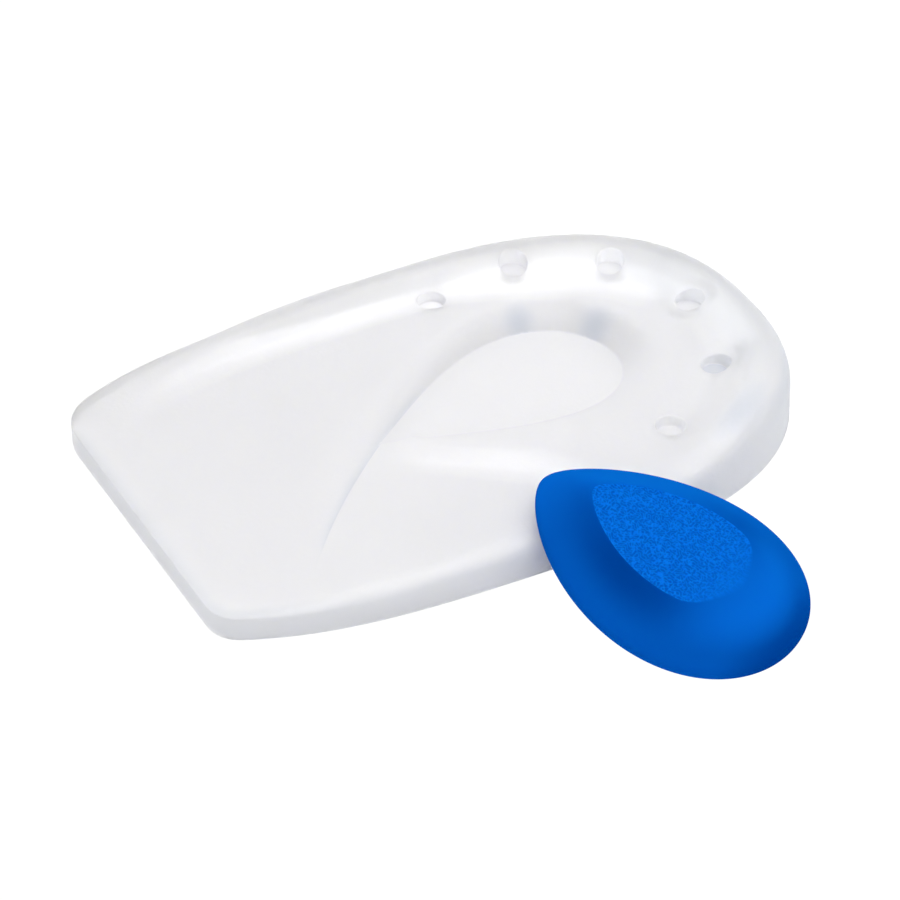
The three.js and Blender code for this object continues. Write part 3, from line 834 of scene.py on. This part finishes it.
def pad_profile():
    """Rings from the foot of the large face up to the edge of the small face, each as places and heights."""
    large = teardrop_outline(PAD, PAD_SIDES)
    small = teardrop_outline(PAD_FACE, PAD_SIDES) + np.array([PAD_FACE_START, 0.0])
    middle = np.array([PAD_FACE_START + PAD_FACE["length"] * PAD_MIDDLE, 0.0])
    along, _ = teardrop_places(PAD_SIDES)
    softness = step_from(along, PAD_ROLL["start"], PAD_ROLL["span"])

    def at(inward, height):
        inward = np.broadcast_to(inward, PAD_SIDES)[:, None]
        inner = np.maximum(inward - 1, 0)
        places = lerp(lerp(large, small, np.minimum(inward, 1)), middle, inner)
        return np.column_stack([places, np.broadcast_to(height, PAD_SIDES)])

    edge_share = lerp(*PAD_ROLL["edge"], softness)
    face_share = lerp(*PAD_ROLL["face"], softness)
    foot = at(PAD_FOOT["inward"], 0.0)
    waist = at(0.0, PAD_FOOT["height"])
    bevel_start = at(PAD_BEVEL["inward"], PAD_BEVEL["height"])
    rings = [foot]
    rings += corner(foot, at(0.0, 0.0), waist, PAD_CORNER_STEPS)
    rings += corner(waist, at(0.0, PAD_BEVEL["bend"]), bevel_start, PAD_CORNER_STEPS)
    edge = at(1.0, PAD_THICKNESS)
    bevel_end = lerp(edge, bevel_start, edge_share[:, None])
    for share in np.linspace(0, 1, PAD_BEVEL_STEPS + 1)[1:]:
        ring = lerp(bevel_start, bevel_end, share)
        ring[:, 2] += PAD_BEVEL["bulge"] * share * (1 - share)
        rings.append(ring)
    face_edge = at(1 + face_share, PAD_THICKNESS + PAD_CROWN * (1 - (1 - face_share) ** 2))
    rings += corner(bevel_end, edge, face_edge, PAD_CORNER_STEPS)
    return rings, middle


def small_face(points, edge, middle):
    """Height of the crowned small face, and each point's share of the way from its middle to its edge."""
    turn = np.arctan2(edge[:, 1] - middle[1], edge[:, 0] - middle[0])
    order = np.argsort(turn)
    here = points - middle
    towards = np.arctan2(here[:, 1], here[:, 0])

    def at_edge(values):
        return np.interp(towards, turn[order], values[order], period=2 * math.pi)

    share = np.linalg.norm(here, axis=1) / at_edge(np.linalg.norm(edge[:, :2] - middle, axis=1))
    edge_height = at_edge(edge[:, 2])
    return edge_height + (PAD_THICKNESS + PAD_CROWN - edge_height) * (1 - share ** 2), share


def spur_pad(material):
    parts = MeshParts()
    rings, middle = pad_profile()
    edge = rings[-1]
    loop = edge[:, :2]
    points, faces = triangulated([loop], lattice(loop, PAD_STEP))
    height, share = small_face(points, edge, middle)
    fade = smooth((GRAIN_FADE["end"] - points[:, 0]) / (GRAIN_FADE["end"] - GRAIN_FADE["start"]))
    ridges = grain(points)
    height = height + GRAIN_HEIGHT * fade * smooth((1 - share) / GRAIN_FADE["edge"]) * (ridges - 1)
    height[:PAD_SIDES] = edge[:, 2]
    # Tones: grain colour on the small face with the ridges lighter as painted highlight, painted light and
    # shade on the bevel, and the darkest blue under the pad as painted shade
    grained = lerp(FACE_TONE["valley"], FACE_TONE["ridge"], ridges)
    tones = [lerp(FACE_TONE["plain"], grained, fade)]
    index = parts.add_points(np.column_stack([points, height]))
    parts.faces.extend(map(tuple, faces))
    ring = index[:PAD_SIDES]
    for places in rings[-2::-1]:
        ring = parts.add_ring(ring, places)
        tones.append(painted_bevel_tone(places))
    parts.add_fan(ring[::-1], (PAD["length"] * PAD_MIDDLE, 0.0, 0.0))
    tones.append([0.0])
    parts.points = leaning(np.array(parts.points))
    return parts.object("heel_insert_spur_pad", material, {"tone": np.concatenate(tones)})


def painted_bevel_tone(places):
    """Painted light and shade of the smooth bevel: light on the far side and the tip, dark by the face's near
    side, and light again where the round end rolls over."""
    along = places[:, 0] / PAD["length"]
    up = places[:, 2] / PAD_THICKNESS
    near_start, near_span = BEVEL_ALONG["near"]
    far = smooth(0.5 + places[:, 1] / BEVEL_SIDE_BLEND) * (1 - step_from(along, *BEVEL_ALONG["far"]))
    tip = 1 - step_from(along, *BEVEL_ALONG["tip"])
    near = 1 - step_from(up, *BEVEL_UP["near"]) * hump((along - near_start) / near_span)
    rolls = step_from(along, *BEVEL_ALONG["roll"]) * step_from(up, *BEVEL_UP["roll"])
    sides = lerp(BEVEL_PAINTED_TONE["near"] * near, BEVEL_PAINTED_TONE["far"], np.maximum(far, tip))
    outer_end = 1 - step_from(along, *BEVEL_ALONG["end"]) * (1 - rolls)
    return lerp(sides * outer_end, BEVEL_PAINTED_TONE["end"], rolls)


def leaning(points):
    """The pad's points in the frame: its round end on the table and its narrow end on the cushion's rim."""
    tilt = math.radians(PAD_PLACE["tilt"])
    heading = Euler((0, 0, math.radians(PAD_PLACE["heading"]))).to_matrix()
    lean = Euler((0, tilt, 0)).to_matrix()
    round_end = PAD["length"] - PAD_FOOT["inward"] * (PAD["length"] - PAD_FACE_START - PAD_FACE["length"])
    tip = np.array([PAD_PLACE["x"], PAD_PLACE["y"], round_end * math.sin(tilt)])
    return points @ np.array(heading @ lean).T + tip


# Materials

def new_material(name):
    material = bpy.data.materials.new(name)
    material.use_nodes = True
    shader = material.node_tree.nodes["Principled BSDF"]
    return material, material.node_tree, shader


def add_bump(tree, shader, scale, strength, distance):
    coords = tree.nodes.new("ShaderNodeTexCoord")
    texture = tree.nodes.new("ShaderNodeTexNoise")
    texture.inputs["Scale"].default_value = scale
    texture.inputs["Detail"].default_value = 3.0
    bump = tree.nodes.new("ShaderNodeBump")
    bump.inputs["Strength"].default_value = strength
    bump.inputs["Distance"].default_value = distance
    tree.links.new(coords.outputs["Object"], texture.inputs["Vector"])
    tree.links.new(texture.outputs["Fac"], bump.inputs["Height"])
    tree.links.new(bump.outputs["Normal"], shader.inputs["Normal"])


def mark(tree, name):
    """The output that reads a mesh's mark of that name."""
    reader = tree.nodes.new("ShaderNodeAttribute")
    reader.attribute_name = name
    return reader.outputs["Fac"]


def mixed_colour(tree, share, low, high):
    mix = tree.nodes.new("ShaderNodeMix")
    mix.data_type = "RGBA"
    sockets = {socket.identifier: socket for socket in mix.inputs}
    sockets["A_Color"].default_value = low
    sockets["B_Color"].default_value = high
    tree.links.new(share, sockets["Factor_Float"])
    return {socket.identifier: socket for socket in mix.outputs}["Result_Color"]


def milky_silicone():
    material, tree, shader = new_material("milky_silicone")
    # Painted shade darkens the colour towards the shaded milky colour, and painted light is given as emission
    colour = mixed_colour(tree, mark(tree, "shade"), MILKY, MILKY_SHADED)
    tree.links.new(colour, shader.inputs["Base Color"])
    tree.links.new(mark(tree, "glow"), shader.inputs["Emission Strength"])
    shader.inputs["Transmission Weight"].default_value = CLEARNESS
    shader.inputs["Roughness"].default_value = 0.32
    shader.inputs["IOR"].default_value = SILICONE_IOR
    shader.inputs["Subsurface Weight"].default_value = 1.0
    shader.inputs["Subsurface Radius"].default_value = (1.0, 1.0, 1.1)
    shader.inputs["Subsurface Scale"].default_value = 0.004
    add_bump(tree, shader, scale=1500, strength=0.15, distance=0.0002)
    return material


def blue_silicone():
    material, tree, shader = new_material("blue_silicone")
    colour = mixed_colour(tree, mark(tree, "tone"), BLUE_SHADED, BLUE_LIT)
    tree.links.new(colour, shader.inputs["Base Color"])
    shader.inputs["Roughness"].default_value = 0.45
    shader.inputs["IOR"].default_value = SILICONE_IOR
    shader.inputs["Specular IOR Level"].default_value = 0.0
    shader.inputs["Subsurface Weight"].default_value = 0.4
    shader.inputs["Subsurface Radius"].default_value = (0.2, 0.6, 1.0)
    shader.inputs["Subsurface Scale"].default_value = 0.002
    add_bump(tree, shader, scale=2500, strength=0.1, distance=0.0001)
    return material


# Table, light and camera

def table():
    """Lights and bounces like a matt white table, and shows as the photograph's plain white ground."""
    material = bpy.data.materials.new("white_table")
    material.use_nodes = True
    tree = material.node_tree
    tree.nodes.clear()
    matt = tree.nodes.new("ShaderNodeBsdfDiffuse")
    matt.inputs["Color"].default_value = (TABLE_WHITE, TABLE_WHITE, TABLE_WHITE, 1)
    glow = tree.nodes.new("ShaderNodeEmission")
    glow.inputs["Strength"].default_value = TABLE_GLOW
    both = tree.nodes.new("ShaderNodeAddShader")
    tree.links.new(matt.outputs["BSDF"], both.inputs[0])
    tree.links.new(glow.outputs["Emission"], both.inputs[1])
    seen = tree.nodes.new("ShaderNodeEmission")
    seen.inputs["Strength"].default_value = TABLE_SEEN
    ray = tree.nodes.new("ShaderNodeLightPath")
    choice = tree.nodes.new("ShaderNodeMixShader")
    output = tree.nodes.new("ShaderNodeOutputMaterial")
    tree.links.new(ray.outputs["Is Camera Ray"], choice.inputs[0])
    tree.links.new(both.outputs["Shader"], choice.inputs[1])
    tree.links.new(seen.outputs["Emission"], choice.inputs[2])
    tree.links.new(choice.outputs["Shader"], output.inputs["Surface"])
    bpy.ops.mesh.primitive_plane_add(size=TABLE_SIZE, location=(0, 0, -TABLE_DROP))
    floor = bpy.context.object
    floor.name = "table"
    floor.data.materials.append(material)


def lights():
    world = bpy.data.worlds.new("studio")
    bpy.context.scene.world = world
    world.use_nodes = True
    sky = world.node_tree.nodes["Background"]
    sky.inputs["Color"].default_value = (1, 1, 1, 1)
    sky.inputs["Strength"].default_value = SKY
    for box in SOFTBOXES:
        softbox(**box)


def softbox(name, side, height, distance, size, energy):
    light = bpy.data.lights.new(name, "AREA")
    light.shape = "SQUARE"
    light.size = size
    light.energy = energy
    lamp = bpy.data.objects.new(name, light)
    towards = direction(CAMERA_AZIMUTH + side, height)
    lamp.location = distance * towards
    lamp.rotation_euler = towards.to_track_quat("Z", "Y").to_euler()
    bpy.context.scene.collection.objects.link(lamp)


def direction(azimuth, elevation):
    """Unit vector towards a place on the sky, with azimuth 0 in front, on the -Y side."""
    around, up = math.radians(azimuth), math.radians(elevation)
    return Vector((math.sin(around) * math.cos(up), -math.cos(around) * math.cos(up), math.sin(up)))


def camera():
    back = direction(CAMERA_AZIMUTH, CAMERA_ELEVATION)
    lens = bpy.data.cameras.new("camera")
    lens.sensor_width = SENSOR
    lens.lens = CAMERA_SCALE * CAMERA_DISTANCE * SENSOR / IMAGE_SIDE
    lens.clip_start = 0.01
    seer = bpy.data.objects.new("camera", lens)
    seer.location = (Vector(CAMERA_TARGET) + CAMERA_DISTANCE * back) * MM
    seer.rotation_euler = back.to_track_quat("Z", "Y").to_euler()
    bpy.context.scene.collection.objects.link(seer)
    bpy.context.scene.camera = seer


def place(piece, node):
    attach(piece, "root")
    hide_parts(node)


camera()
table()
lights()
place(heel_cushion(milky_silicone()), "heel_cushion")
place(spur_pad(blue_silicone()), "spur_pad")

cycles = bpy.context.scene.cycles
cycles.max_bounces = 24
cycles.diffuse_bounces = 8
cycles.glossy_bounces = 8
cycles.transmission_bounces = 24
bpy.context.scene.view_settings.view_transform = "Standard"
